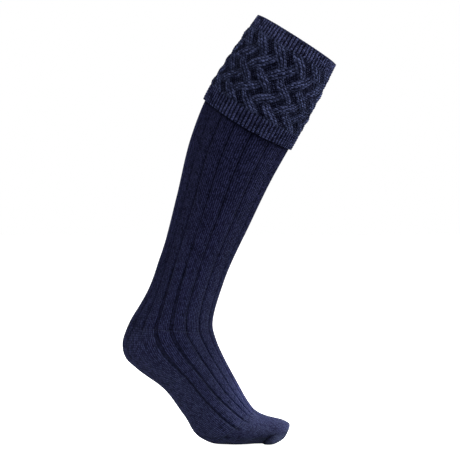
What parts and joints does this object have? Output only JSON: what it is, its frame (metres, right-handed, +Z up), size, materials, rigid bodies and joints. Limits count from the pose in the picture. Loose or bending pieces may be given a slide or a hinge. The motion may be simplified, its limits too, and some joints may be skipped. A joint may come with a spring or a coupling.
{
  "type": "shooting sock",
  "caption": "Knee-high ribbed wool sock with a turned-down cuff of woven cable lattice, in the form of a leg on tiptoe.",
  "frame": {"origin": "the middle of the leg opening, at the crest of the fold", "axes": "+X the way the toe points, +Y to the wearer's side away from the viewer, +Z up, with the ball of the foot lowest"},
  "size_m": [0.2666, 0.1172, 0.5373],
  "materials": {
    "cuff_wool": "navy wool, chunky cable and fine rib knit, matt with a soft sheen",
    "leg_wool": "navy wool, fine stitch in wide ribs, matt with a soft sheen",
    "foot_wool": "navy wool, fine plain stitch, matt with a soft sheen"
  },
  "bodies": {
    "root": {"fold_band": "cuff_wool", "lattice_panel": "cuff_wool", "edge_band": "cuff_wool", "leg": "leg_wool", "instep": "leg_wool", "heel": "foot_wool", "sole": "foot_wool", "toe": "foot_wool"}
  },
  "joints": []
}
